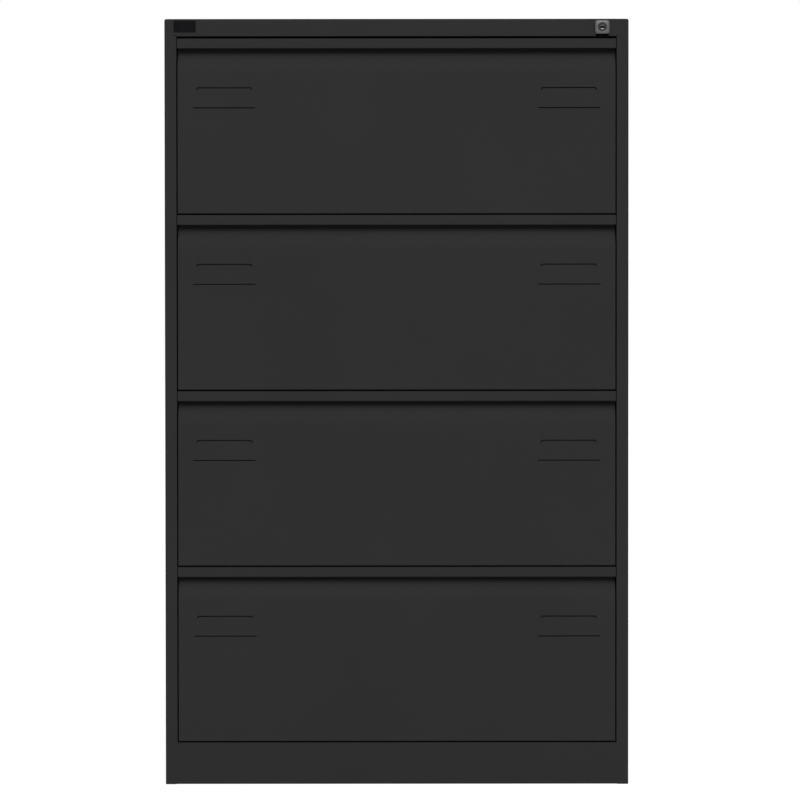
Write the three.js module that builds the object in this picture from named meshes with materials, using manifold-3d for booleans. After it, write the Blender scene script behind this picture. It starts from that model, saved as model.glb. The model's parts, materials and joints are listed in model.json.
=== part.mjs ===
// A wide steel filing cabinet: four drawers with full-width grip lips on telescopic slides, and one lock.
// Millimetres, +Z up. The front faces -Y, and the origin is on the floor under the middle of the cabinet.
// Inside the cabinet's own group, y is measured backwards from the plane of the drawer fronts.

import * as THREE from "three";
import { mergeVertices } from "three/addons/utils/BufferGeometryUtils.js";
import Module from "manifold-3d";

const wasm = await Module();
wasm.setup();

// Overall size
const WIDTH = 800;
const DEPTH = 622;
const HEIGHT = 1321;
const DRAWER_COUNT = 4;

// Sheet steel and fits
const SHEET = 1;
const DRAWER_SHEET = 0.9;
const UPRIGHT_SHEET = 1.2;
const BEND = 1.5; // centre-line radius of an ordinary bend
const FIT = 0.1; // gap left between pieces that are welded, riveted or screwed together
const RUN = 0.3; // gap left between pieces that move on each other

// Carcass
const STILE_FACE = 20.7;
const STILE_RETURN = 22;
const REAR_FLANGE = 14;
const TOP_CORNER = 2.5;
const TOP_RETURN = 20;
const PLINTH_HEIGHT = 72;
const PLINTH_TOP_RETURN = 20;
const PLINTH_FOOT = 15;
const BASE_FOOT = 22;

// Gaps that show around the drawer fronts
const SIDE_GAP = 1; // beside a lip
const TOP_GAP = 3.4;
const FRONT_GAP = 2.3;

// Drawer front
const FRONT_DEPTH = 25;
const LIP_HEIGHT = 17.3;
const LIP_OVERHANG = 1; // how far the lip reaches past the panel at each end
const HEM_DEPTH = 2.4;
const HEM_HEIGHT = 8;
const HEM_BEND = 1;
const SCOOP_RUN = 43.5; // from the lip's lower edge down to where the panel starts to lean back
const SCOOP_RADIUS = 52;
const SCOOP_TOP_RADIUS = 12;
const LINER_INSET = 3;

// Label slits in the drawer front
const LABEL_INSET = 80.3; // from the panel's end
const LABEL_SLIT = 1.4;
const LABEL_TOP_WIDTH = 94;
const LABEL_TOP_DROP = 84;
const LABEL_HOOK = 4;
const LABEL_HOOK_BEND = 2;
const LABEL_FOOT_WIDTH = 108;
const LABEL_FOOT_DROP = 118;

// Drawer tray and its file rails
const TRAY_LIFT = 22;
const TRAY_BACK_SPACE = 42;
const RAIL_BELOW_TOP = 27;
const RAIL_FOLD = 28;
const RAIL_DROP = 12;
const BACK_FLANGE = 15;
const CENTRE_RAIL_WIDTH = 16;
const CENTRE_RAIL_HEIGHT = 30;

// Telescopic slides
const SLIDE_STEEL = 1.2;
const SLIDE_HEIGHT = 45.6;
const SLIDE_THICKNESS = 12.4;
const SLIDE_LEVEL = 80; // slide centre above the drawer front's lower edge
const SLIDE_LEAD = 8;
const SLIDE_BACK_SPACE = 42;
const SLIDE_PLAY = 0.4;
const SLIDE_PAST_STILE = 1.5;
const BALL_ROW = 3.3; // height of the row of balls between two members
const BALL_CAGE = 3;

// Uprights that carry the slides
const UPRIGHT_SETBACK = 40;
const UPRIGHT_WIDTH = 35;
const REAR_UPRIGHT_SPACE = 57;

// Lock
const LOCK_INSET = 45.6;
const LOCK_WIDTH = 25.6;
const LOCK_HEIGHT = 23.7;
const LOCK_CORNER = 4.5;
const LOCK_PROUD = 5;
const LOCK_ABOVE = 3;
const LOCK_BELOW = 3.5;
const LOCK_LAND = 3.6;
const RAIL_NOTCH_INSET = 2; // the notch in the rail under the lock is this much narrower at each side
const RAIL_NOTCH_DEPTH = 8;
const RAIL_NOTCH_LAP = 1;
const BARREL_WALL = 2.7;
const DISH_DEPTH = 2.2;
const DISH_FLARE = 3;
const KEYWAY_MARGIN = 1.1;
const KEYWAY_WIDTH = 2.4;
const KEYWAY_DEPTH = 9;
const NUT_WALL = 2.6;
const NUT_SIDES = 6;
const NUT_THICKNESS = 4;
const LOCK_LIFT = 12;
const CAM_THICKNESS = 2.5;
const CAM_RADIUS = 4.6;
const CAM_STANDOFF = 8;
const CAM_PIN_RADIUS = 2;
const CAM_PIN_PLAY = 0.6;
const BAR_THICKNESS = 2.5;
const BAR_WIDTH = 12;
const BAR_SIDE_SPACE = 3;
const BAR_ARM_MARGIN = 3;
const BAR_TAIL = 40;
const NOTCH_LEVEL = 140; // notch centre above the drawer front's lower edge
const NOTCH_HEIGHT = 9;
const NOTCH_DEPTH = 6;

// Badge plate
const BADGE_INSET = 35.2;
const BADGE_WIDTH = 38.3;
const BADGE_HEIGHT = 20.2;
const BADGE_THICKNESS = 1.2;
const BADGE_CORNER = 1;
const BADGE_DROP = 13;

// Fineness of arcs
const BEND_STEPS = 3;
const SCOOP_STEPS = 8;
const SMOOTH_RADIUS = 5; // bends wider than this get the finer steps
const ROUND_SEGMENTS = 32;
const SAME_POINT = 1e-3; // points closer than this are one

// Places that follow from the sizes
const TOP_RAIL = LOCK_ABOVE + LOCK_HEIGHT + LOCK_BELOW;
const FRAME_TOP = HEIGHT - TOP_RAIL;
const FRONT_WIDTH = WIDTH - 2 * (STILE_FACE + SIDE_GAP);
const FRONT_HEIGHT = (FRAME_TOP - PLINTH_HEIGHT - TOP_GAP - DRAWER_COUNT * FRONT_GAP) / DRAWER_COUNT;
const LINER_BACK = FRONT_DEPTH + FIT + DRAWER_SHEET;
const STILE_EDGE = WIDTH / 2 - STILE_FACE;
const UPRIGHT_FACE = STILE_EDGE - SLIDE_PAST_STILE + SLIDE_PLAY + SLIDE_STEEL + FIT;
const SLIDE_FACE = UPRIGHT_FACE - FIT;
const TRAY_HALF = SLIDE_FACE - SLIDE_THICKNESS - FIT;
const RAIL_TOP = FRONT_HEIGHT - RAIL_BELOW_TOP;
const TRAY_BACK = DEPTH - TRAY_BACK_SPACE;
const SLIDE_FRONT = LINER_BACK + SLIDE_LEAD;
const SLIDE_BACK = DEPTH - SLIDE_BACK_SPACE;
const LOCK_X = WIDTH / 2 - LOCK_INSET;
const LOCK_Z = HEIGHT - LOCK_ABOVE - LOCK_HEIGHT / 2;
const BAR_BACK = UPRIGHT_SETBACK - RUN;
const BAR_FRONT = BAR_BACK - BAR_THICKNESS;
const CAM_BACK = BAR_FRONT - CAM_STANDOFF;
const CAM_FRONT = CAM_BACK - CAM_THICKNESS;
const PIN_THROW = LOCK_LIFT / 2; // the pin swings from this far below the lock's axis to this far above it

// Finishes
const blackPaint = new THREE.MeshStandardMaterial({ color: 0x303030, roughness: 0.55, metalness: 0 });
const zincPlate = new THREE.MeshStandardMaterial({ color: 0xb4b8bb, roughness: 0.38, metalness: 1 });
const satinZinc = new THREE.MeshStandardMaterial({ color: 0x9b9b9a, roughness: 0.42, metalness: 1 });
const badgeBlack = new THREE.MeshStandardMaterial({ color: 0x18151a, roughness: 0.25, metalness: 0 });

// Shape helpers

// Points along a bent centre line. A corner is [x, y, bend radius], and a point carries its left normal.
function centreLine(corners) {
  const at = corners.map(([x, y]) => new THREE.Vector2(x, y));
  const heading = (i) => at[i + 1].clone().sub(at[i]).normalize();
  const left = (v) => new THREE.Vector2(-v.y, v.x);
  const points = [{ at: at[0], normal: left(heading(0)) }];
  for (let i = 1; i < at.length - 1; i++) {
    const radius = corners[i][2] ?? BEND;
    const before = heading(i - 1);
    const after = heading(i);
    const turn = Math.atan2(before.cross(after), before.dot(after));
    const side = Math.sign(turn);
    const start = at[i].clone().addScaledVector(before, -radius * Math.tan(Math.abs(turn) / 2));
    const centre = start.clone().addScaledVector(left(before), side * radius);
    const steps = radius > SMOOTH_RADIUS ? SCOOP_STEPS : BEND_STEPS;
    for (let k = 0; k <= steps; k++) {
      const normal = left(before).rotateAround(new THREE.Vector2(), (turn * k) / steps);
      points.push({ at: centre.clone().addScaledVector(normal, -side * radius), normal });
    }
  }
  points.push({ at: at.at(-1), normal: left(heading(at.length - 2)) });
  return points;
}

// The closed outline of a bent sheet of this thickness.
function sheetOutline(corners, thickness) {
  const line = centreLine(corners);
  const shifted = (sign) => line.map((p) => p.at.clone().addScaledVector(p.normal, (sign * thickness) / 2));
  return new THREE.Shape([...shifted(1), ...shifted(-1).reverse()]);
}

function outline(points) {
  return new THREE.Shape(points.map(([x, y]) => new THREE.Vector2(x, y)));
}

function rectangle(left, low, right, high) {
  return outline([[left, low], [right, low], [right, high], [left, high]]);
}

function roundedRectangle(width, height, radius) {
  const x = width / 2 - radius;
  const y = height / 2 - radius;
  const shape = new THREE.Shape();
  shape.absarc(x, -y, radius, -Math.PI / 2, 0);
  shape.absarc(x, y, radius, 0, Math.PI / 2);
  shape.absarc(-x, y, radius, Math.PI / 2, Math.PI);
  shape.absarc(-x, -y, radius, Math.PI, 1.5 * Math.PI);
  return shape;
}

function extrude(shape, length) {
  return new THREE.ExtrudeGeometry(shape, { depth: length, bevelEnabled: false, curveSegments: BEND_STEPS });
}

const X = new THREE.Vector3(1, 0, 0);
const Y = new THREE.Vector3(0, 1, 0);
const Z = new THREE.Vector3(0, 0, 1);

// An outline seen from above, in x and y, raised from one height to another.
function extrudeUp(shape, low, high) {
  return extrude(shape, high - low).translate(0, 0, low);
}

// An outline seen from the side, in y and z, drawn out from left to right.
function extrudeAcross(shape, left, right) {
  const turned = extrude(shape, right - left).applyMatrix4(new THREE.Matrix4().makeBasis(Y, Z, X));
  return turned.translate(left, 0, 0);
}

// An outline seen from the front, in x and z, drawn out from front to back.
function extrudeBack(shape, front, back) {
  const basis = new THREE.Matrix4().makeBasis(X, Z, Y.clone().negate());
  return extrude(shape, back - front).applyMatrix4(basis).translate(0, back, 0);
}

// A round bar whose axis runs from front to back.
function roundBar(radius, front, back, segments = ROUND_SEGMENTS) {
  const bar = new THREE.CylinderGeometry(radius, radius, back - front, segments);
  return bar.translate(0, (front + back) / 2, 0);
}

function box(left, front, low, right, back, high) {
  return extrudeUp(rectangle(left, front, right, back), low, high);
}

// Solids for cuts and joins
function solid(geometry) {
  const bare = geometry.clone();
  bare.deleteAttribute("normal");
  bare.deleteAttribute("uv");
  const merged = mergeVertices(bare, SAME_POINT);
  return new wasm.Manifold(
    new wasm.Mesh({
      numProp: 3,
      vertProperties: merged.attributes.position.array,
      triVerts: new Uint32Array(merged.index.array),
    }),
  );
}

function geometryOf(made) {
  const { vertProperties, triVerts } = made.getMesh();
  const geometry = new THREE.BufferGeometry();
  geometry.setAttribute("position", new THREE.BufferAttribute(vertProperties, 3));
  geometry.setIndex(new THREE.BufferAttribute(triVerts, 1));
  const flat = geometry.toNonIndexed();
  flat.computeVertexNormals();
  return flat;
}

function piece(name, geometry, material) {
  const mesh = new THREE.Mesh(geometry, material);
  mesh.name = name;
  return mesh;
}

const SIDES = [
  { name: "left", sign: -1 },
  { name: "right", sign: 1 },
];

// Carcass

// A side panel is one sheet: the front stile with its return, the side itself and a flange for the back.
function sidePanel({ name, sign }) {
  const middle = SHEET / 2;
  const outer = sign * (WIDTH / 2 - middle);
  const inner = sign * (STILE_EDGE + middle);
  const profile = sheetOutline(
    [
      [inner, STILE_RETURN],
      [inner, middle],
      [outer, middle],
      [outer, DEPTH - middle],
      [sign * (WIDTH / 2 - REAR_FLANGE), DEPTH - middle],
    ],
    SHEET,
  );
  return piece(`${name}_side_panel`, extrudeUp(profile, 0, FRAME_TOP - FIT), blackPaint);
}

function capOutline(inset, corner) {
  const half = WIDTH / 2 - inset;
  const top = HEIGHT - inset;
  const shape = new THREE.Shape();
  shape.moveTo(-half, FRAME_TOP - inset);
  shape.lineTo(half, FRAME_TOP - inset);
  shape.absarc(half - corner, top - corner, corner, 0, Math.PI / 2);
  shape.absarc(corner - half, top - corner, corner, Math.PI / 2, Math.PI);
  return shape;
}

// The rail's lower edge is notched under the lock, as far as the lock's plate covers.
function railNotch() {
  const half = LOCK_WIDTH / 2 - RAIL_NOTCH_INSET;
  const top = LOCK_Z - LOCK_HEIGHT / 2 + RAIL_NOTCH_LAP;
  return box(LOCK_X - half, -SHEET, FRAME_TOP - SHEET, LOCK_X + half, RAIL_NOTCH_DEPTH, top);
}

// The top is a pan, open at the back: its front skirt is the top rail, turned back and bored for the lock.
function topPanel() {
  const outer = solid(extrudeBack(capOutline(0, TOP_CORNER), 0, DEPTH));
  const hollow = solid(extrudeBack(capOutline(SHEET, TOP_CORNER - SHEET / 2), SHEET, DEPTH + SHEET));
  const half = WIDTH / 2 - SHEET / 2;
  const turnedBack = solid(box(-half, SHEET / 2, FRAME_TOP, half, TOP_RETURN, FRAME_TOP + SHEET));
  const lockHole = solid(roundBar(barrelRadius() + FIT, -SHEET, 2 * SHEET).translate(LOCK_X, 0, LOCK_Z));
  const made = outer.subtract(hollow).add(turnedBack).subtract(lockHole).subtract(solid(railNotch()));
  return piece("top_panel", geometryOf(made), blackPaint);
}

function backPanel() {
  const half = WIDTH / 2 - SHEET - TOP_CORNER;
  const back = DEPTH - SHEET - FIT;
  const sheet = box(-half, back - SHEET, 0, half, back, HEIGHT - SHEET - FIT);
  return piece("back_panel", sheet, blackPaint);
}

// The plinth closes the front below the drawers and turns back at its top and at the floor.
function plinthPanel() {
  const middle = SHEET / 2;
  const profile = sheetOutline(
    [
      [PLINTH_FOOT, middle],
      [middle, middle],
      [middle, PLINTH_HEIGHT - middle],
      [PLINTH_TOP_RETURN, PLINTH_HEIGHT - middle],
    ],
    SHEET,
  );
  const half = STILE_EDGE - FIT;
  return piece("plinth_panel", extrudeAcross(profile, -half, half), blackPaint);
}

// The base is a bridge: a floor plate on two skirts that end in flat feet.
function basePanel() {
  const middle = SHEET / 2;
  const skirt = WIDTH / 2 - SHEET - FIT - middle;
  const plate = PLINTH_HEIGHT - middle;
  const toe = skirt - BASE_FOOT;
  const profile = sheetOutline(
    [[-toe, middle], [-skirt, middle], [-skirt, plate], [skirt, plate], [skirt, middle], [toe, middle]],
    SHEET,
  );
  const back = DEPTH - 2 * (SHEET + FIT);
  return piece("base_panel", extrudeBack(profile, STILE_RETURN + FIT, back), blackPaint);
}

// An upright is a channel whose web faces the drawers and whose edges meet the side panel.
function upright(position, front, { name, sign }) {
  const middle = UPRIGHT_SHEET / 2;
  const wall = sign * (WIDTH / 2 - SHEET - FIT);
  const web = sign * (UPRIGHT_FACE + middle);
  const back = front + UPRIGHT_WIDTH;
  const profile = sheetOutline(
    [
      [wall, front + middle],
      [web, front + middle],
      [web, back - middle],
      [wall, back - middle],
    ],
    UPRIGHT_SHEET,
  );
  const channel = extrudeUp(profile, PLINTH_HEIGHT + FIT, HEIGHT - SHEET - TOP_CORNER);
  return piece(`${position}_upright_${name}`, channel, zincPlate);
}

function carcass() {
  const group = new THREE.Group();
  group.add(topPanel(), backPanel(), plinthPanel(), basePanel());
  const rearUpright = DEPTH - REAR_UPRIGHT_SPACE - UPRIGHT_WIDTH;
  for (const side of SIDES) {
    group.add(sidePanel(side));
    group.add(upright("front", UPRIGHT_SETBACK, side));
    group.add(upright("rear", rearUpright, side));
  }
  return group;
}

// Telescopic slides

// A half outline runs from the middle up, measured inwards from the upright, and the other half mirrors it.
function slideOutline(upperHalf, sign) {
  const mirrored = upperHalf.map(([s, v]) => [s, -v]).reverse();
  return outline([...upperHalf, ...mirrored].map(([s, v]) => [sign * (SLIDE_FACE - s), v]));
}

function slideOuter(sign) {
  const top = SLIDE_HEIGHT / 2;
  const reach = SLIDE_THICKNESS - BALL_CAGE;
  return slideOutline(
    [[SLIDE_STEEL, top - SLIDE_STEEL], [reach, top - SLIDE_STEEL], [reach, top], [0, top]],
    sign,
  );
}

// A channel with the ball cage that runs in the member around it. The flange reaches over from its web.
function slideRunner(web, webInside, tip, top, cageMiddle) {
  const cageLow = cageMiddle - BALL_CAGE / 2;
  const cageHigh = cageMiddle + BALL_CAGE / 2;
  const [first, last] = web < tip ? [cageHigh, cageLow] : [cageLow, cageHigh];
  const cageTop = top + BALL_ROW - RUN;
  return [
    [webInside, top - SLIDE_STEEL],
    [tip, top - SLIDE_STEEL],
    [tip, top],
    [first, top],
    [first, cageTop],
    [last, cageTop],
    [last, top],
    [web, top],
  ];
}

const MIDDLE_TOP = SLIDE_HEIGHT / 2 - SLIDE_STEEL - BALL_ROW;
const INNER_TOP = MIDDLE_TOP - SLIDE_STEEL - BALL_ROW;

function slideMiddle(sign) {
  const web = SLIDE_STEEL + SLIDE_PLAY;
  const tip = SLIDE_THICKNESS - SLIDE_STEEL - 2 * SLIDE_PLAY;
  return slideOutline(slideRunner(web, web + SLIDE_STEEL, tip, MIDDLE_TOP, (web + tip) / 2), sign);
}

function slideInner(sign) {
  const web = SLIDE_THICKNESS;
  const tip = 2 * (SLIDE_STEEL + SLIDE_PLAY) + SLIDE_PLAY;
  return slideOutline(slideRunner(web, web - SLIDE_STEEL, tip, INNER_TOP, (web + tip) / 2), sign);
}

function slides(drawer) {
  const group = new THREE.Group();
  group.position.z = SLIDE_LEVEL;
  const members = { outer: slideOuter, mid: slideMiddle, inner: slideInner };
  for (const { name, sign } of SIDES) {
    for (const [member, profile] of Object.entries(members)) {
      const bar = extrudeBack(profile(sign), SLIDE_FRONT, SLIDE_BACK);
      group.add(piece(`${drawer}_slide_${member}_${name}`, bar, zincPlate));
    }
  }
  return group;
}

// Drawers

const FRONT_WALL = FRONT_DEPTH - DRAWER_SHEET - FIT; // the middle of the upright wall behind the lip
const WALL_JOIN = FRONT_HEIGHT - LIP_HEIGHT / 2; // where the wall of the panel and that of the lip are joined

// The panel's sheet runs up from its lower return, leans back in the scoop and ends in a wall behind the lip.
function panelCorners() {
  const middle = DRAWER_SHEET / 2;
  const lean = 2 * Math.asin(Math.sqrt((FRONT_WALL - middle) / (2 * (SCOOP_RADIUS + SCOOP_TOP_RADIUS))));
  const lowerTangent = SCOOP_RADIUS * Math.tan(lean / 2);
  const slope = lowerTangent + SCOOP_TOP_RADIUS * Math.tan(lean / 2);
  const scoopLow = FRONT_HEIGHT - LIP_HEIGHT - SCOOP_RUN + lowerTangent;
  const scoopHigh = scoopLow + slope * Math.cos(lean);
  return [
    [FRONT_DEPTH, middle],
    [middle, middle],
    [middle, scoopLow, SCOOP_RADIUS],
    [FRONT_WALL, scoopHigh, SCOOP_TOP_RADIUS],
    [FRONT_WALL, WALL_JOIN + BEND],
  ];
}

// The lip's sheet runs up the wall, turns forward over the top and down again, and ends in a hem.
function lipCorners() {
  const middle = DRAWER_SHEET / 2;
  const lipLow = FRONT_HEIGHT - LIP_HEIGHT + middle;
  return [
    [FRONT_WALL, WALL_JOIN - BEND],
    [FRONT_WALL, FRONT_HEIGHT - middle],
    [middle, FRONT_HEIGHT - middle],
    [middle, lipLow, HEM_BEND],
    [middle + HEM_DEPTH, lipLow, HEM_BEND],
    [middle + HEM_DEPTH, lipLow + HEM_HEIGHT],
  ];
}

// An end plate closes the hollow between the panel, the scoop and the liner.
function frontEnd() {
  const top = FRONT_HEIGHT - LINER_INSET;
  const behind = centreLine([...panelCorners().slice(0, -1), [FRONT_WALL, top]]).map((p) => p.at);
  return new THREE.Shape([...behind, new THREE.Vector2(FRONT_DEPTH, top)]);
}

// A label slides behind two slits. The upper one has turned-down ends and the lower one is straight.
function labelSlits(centre) {
  const top = FRONT_HEIGHT - LABEL_TOP_DROP;
  const foot = FRONT_HEIGHT - LABEL_FOOT_DROP;
  const half = LABEL_TOP_WIDTH / 2;
  const upper = sheetOutline(
    [
      [centre - half, top - LABEL_HOOK],
      [centre - half, top, LABEL_HOOK_BEND],
      [centre + half, top, LABEL_HOOK_BEND],
      [centre + half, top - LABEL_HOOK],
    ],
    LABEL_SLIT,
  );
  const reach = LABEL_FOOT_WIDTH / 2;
  const lower = rectangle(centre - reach, foot - LABEL_SLIT / 2, centre + reach, foot + LABEL_SLIT / 2);
  return [upper, lower].map((shape) => solid(extrudeBack(shape, -DRAWER_SHEET, 2 * DRAWER_SHEET)));
}

function drawerFront(drawer) {
  const lipHalf = FRONT_WIDTH / 2;
  const half = lipHalf - LIP_OVERHANG;
  const panel = solid(extrudeAcross(sheetOutline(panelCorners(), DRAWER_SHEET), -half, half));
  const lip = solid(extrudeAcross(sheetOutline(lipCorners(), DRAWER_SHEET), -lipHalf, lipHalf));
  let made = panel.add(lip);
  const end = frontEnd();
  made = made.add(solid(extrudeAcross(end, -half, DRAWER_SHEET - half)));
  made = made.add(solid(extrudeAcross(end, half - DRAWER_SHEET, half)));
  for (const { sign } of SIDES) {
    for (const slit of labelSlits(sign * (half - LABEL_INSET))) {
      made = made.subtract(slit);
    }
  }
  return piece(`${drawer}_front`, geometryOf(made), blackPaint);
}

// The liner closes the back of the front and carries the tray.
function drawerLiner(drawer) {
  const half = FRONT_WIDTH / 2 - LINER_INSET;
  const plate = box(
    -half,
    LINER_BACK - DRAWER_SHEET,
    LINER_INSET,
    half,
    LINER_BACK,
    FRONT_HEIGHT - LINER_INSET,
  );
  return piece(`${drawer}_liner`, plate, blackPaint);
}

// The tray is one sheet: floor, two walls, and a file rail folded in along the top of each wall.
function drawerTray(drawer) {
  const middle = DRAWER_SHEET / 2;
  const wall = TRAY_HALF - middle;
  const rail = TRAY_HALF - RAIL_FOLD;
  const top = RAIL_TOP - middle;
  const profile = sheetOutline(
    [
      [-rail, RAIL_TOP - RAIL_DROP],
      [-rail, top],
      [-wall, top],
      [-wall, TRAY_LIFT + middle],
      [wall, TRAY_LIFT + middle],
      [wall, top],
      [rail, top],
      [rail, RAIL_TOP - RAIL_DROP],
    ],
    DRAWER_SHEET,
  );
  return piece(`${drawer}_tray`, extrudeBack(profile, LINER_BACK + FIT, TRAY_BACK), blackPaint);
}

function drawerBack(drawer) {
  const middle = DRAWER_SHEET / 2;
  const wall = TRAY_HALF - DRAWER_SHEET - FIT - middle;
  const web = TRAY_BACK - middle;
  const profile = sheetOutline(
    [[-wall, web - BACK_FLANGE], [-wall, web], [wall, web], [wall, web - BACK_FLANGE]],
    DRAWER_SHEET,
  );
  const low = TRAY_LIFT + middle + BEND + FIT;
  return piece(`${drawer}_back`, extrudeUp(profile, low, RAIL_TOP - RAIL_DROP - FIT), blackPaint);
}

// The centre rail divides the tray into two rows of hanging files.
function drawerCentreRail(drawer) {
  const middle = DRAWER_SHEET / 2;
  const leg = CENTRE_RAIL_WIDTH / 2 - middle;
  const low = RAIL_TOP - CENTRE_RAIL_HEIGHT;
  const top = RAIL_TOP - middle;
  const profile = sheetOutline([[-leg, low], [-leg, top], [leg, top], [leg, low]], DRAWER_SHEET);
  const rail = extrudeBack(profile, LINER_BACK + FIT, TRAY_BACK - DRAWER_SHEET - FIT);
  return piece(`${drawer}_centre_rail`, rail, blackPaint);
}

function drawerBottom(index) {
  return FRAME_TOP - TOP_GAP - (index + 1) * FRONT_HEIGHT - index * FRONT_GAP;
}

function drawer(index) {
  const group = new THREE.Group();
  const name = `drawer_${index + 1}`;
  group.position.z = drawerBottom(index);
  group.add(drawerFront(name), drawerLiner(name), drawerTray(name), drawerBack(name));
  group.add(drawerCentreRail(name), slides(name));
  return group;
}

// Lock

function barrelRadius() {
  return LOCK_HEIGHT / 2 - LOCK_LAND;
}

function boreRadius() {
  return barrelRadius() - BARREL_WALL;
}

// The housing is a rounded plate on the rail, with a dish around the key and a barrel through the rail.
function lockHousing() {
  const face = roundedRectangle(LOCK_WIDTH, LOCK_HEIGHT, LOCK_CORNER);
  const plate = solid(extrudeBack(face, -LOCK_PROUD, -FIT));
  const barrel = solid(roundBar(barrelRadius(), -LOCK_PROUD / 2, CAM_FRONT - RUN));
  const bore = boreRadius();
  const slope = DISH_FLARE / DISH_DEPTH;
  const past = SHEET; // how far the cut runs on beyond each end
  const dish = new THREE.LatheGeometry(
    [
      new THREE.Vector2(0, -LOCK_PROUD - past),
      new THREE.Vector2(bore + DISH_FLARE + slope * past, -LOCK_PROUD - past),
      new THREE.Vector2(bore, DISH_DEPTH - LOCK_PROUD),
      new THREE.Vector2(bore, CAM_FRONT + past),
      new THREE.Vector2(0, CAM_FRONT + past),
    ],
    ROUND_SEGMENTS,
  );
  return piece("lock_housing", geometryOf(plate.add(barrel).subtract(solid(dish))), satinZinc);
}

function lockNut() {
  const hole = barrelRadius() + FIT;
  const front = SHEET + FIT;
  const hexagon = solid(roundBar(hole + NUT_WALL, front, front + NUT_THICKNESS, NUT_SIDES));
  const bored = hexagon.subtract(solid(roundBar(hole, 0, front + NUT_THICKNESS + SHEET)));
  return piece("lock_nut", geometryOf(bored), zincPlate);
}

function lockCore() {
  const radius = boreRadius() - RUN;
  const front = DISH_DEPTH - LOCK_PROUD;
  const half = radius - KEYWAY_MARGIN;
  const keyway = box(-half, front - SHEET, -KEYWAY_WIDTH / 2, half, front + KEYWAY_DEPTH, KEYWAY_WIDTH / 2);
  const core = solid(roundBar(radius, front, CAM_FRONT - FIT)).subtract(solid(keyway));
  return piece("lock_core", geometryOf(core), satinZinc);
}

// The cam points down and sideways when unlocked, and its pin works in the slot of the bar's arm.
function lockCam() {
  const lever = new THREE.Shape();
  const towardsPin = -Math.PI / 4;
  lever.absarc(PIN_THROW, -PIN_THROW, CAM_RADIUS, towardsPin - Math.PI / 2, towardsPin + Math.PI / 2);
  lever.absarc(0, 0, CAM_RADIUS, towardsPin + Math.PI / 2, towardsPin + 1.5 * Math.PI);
  const plate = solid(extrudeBack(lever, CAM_FRONT, CAM_BACK));
  const pin = roundBar(CAM_PIN_RADIUS, CAM_BACK - CAM_THICKNESS / 2, BAR_BACK - RUN);
  return piece("lock_cam", geometryOf(plate.add(solid(pin.translate(PIN_THROW, 0, -PIN_THROW)))), blackPaint);
}

// The bar runs down beside the drawers, with an arm to the cam at its top and a notch at each drawer.
function lockBar() {
  const right = WIDTH / 2 - SHEET - BAR_SIDE_SPACE;
  const left = right - BAR_WIDTH;
  const slotHalf = CAM_PIN_RADIUS + CAM_PIN_PLAY;
  const pinNear = LOCK_X + PIN_THROW;
  const pinFar = LOCK_X + PIN_THROW * Math.SQRT2;
  const pinLevel = LOCK_Z - PIN_THROW;
  const armHalf = slotHalf + BAR_ARM_MARGIN;
  const armEnd = pinNear - armHalf;
  const points = [
    [right, pinLevel + armHalf],
    [armEnd, pinLevel + armHalf],
    [armEnd, pinLevel - armHalf],
    [left, pinLevel - armHalf],
  ];
  for (let index = 0; index < DRAWER_COUNT; index++) {
    const level = drawerBottom(index) + NOTCH_LEVEL;
    const high = level + NOTCH_HEIGHT / 2;
    const low = level - NOTCH_HEIGHT / 2;
    points.push([left, high], [left + NOTCH_DEPTH, high], [left + NOTCH_DEPTH, low], [left, low]);
  }
  const foot = drawerBottom(DRAWER_COUNT - 1) + NOTCH_LEVEL - BAR_TAIL;
  points.push([left, foot], [right, foot]);
  const strip = outline(points);
  const slot = new THREE.Path();
  slot.absarc(pinFar, pinLevel, slotHalf, -Math.PI / 2, Math.PI / 2);
  slot.absarc(pinNear, pinLevel, slotHalf, Math.PI / 2, 1.5 * Math.PI);
  strip.holes.push(slot);
  return piece("lock_bar", extrudeBack(strip, BAR_FRONT, BAR_BACK), blackPaint);
}

function lock() {
  const group = new THREE.Group();
  const cylinder = new THREE.Group();
  cylinder.position.set(LOCK_X, 0, LOCK_Z);
  cylinder.add(lockHousing(), lockNut(), lockCore(), lockCam());
  group.add(cylinder, lockBar());
  return group;
}

// The badge is a bare plate on the top rail.
function badge() {
  const shape = roundedRectangle(BADGE_WIDTH, BADGE_HEIGHT, BADGE_CORNER);
  const plate = piece("badge_plate", extrudeBack(shape, -FIT - BADGE_THICKNESS, -FIT), badgeBlack);
  plate.position.set(BADGE_INSET - WIDTH / 2, 0, HEIGHT - BADGE_DROP);
  return plate;
}

// The whole cabinet, centred over the floor between the lock's face and the back.
const cabinet = new THREE.Group();
const body = new THREE.Group();
body.position.y = (LOCK_PROUD - DEPTH) / 2;
body.add(carcass(), lock(), badge());
for (let index = 0; index < DRAWER_COUNT; index++) {
  body.add(drawer(index));
}
cabinet.add(body);

export default cabinet;
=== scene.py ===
"""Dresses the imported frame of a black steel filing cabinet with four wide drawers.

Sizes in the code are millimetres, measured in the frame's own axes: the fronts face -Y and +Z is up.
"""

import json
import math

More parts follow.
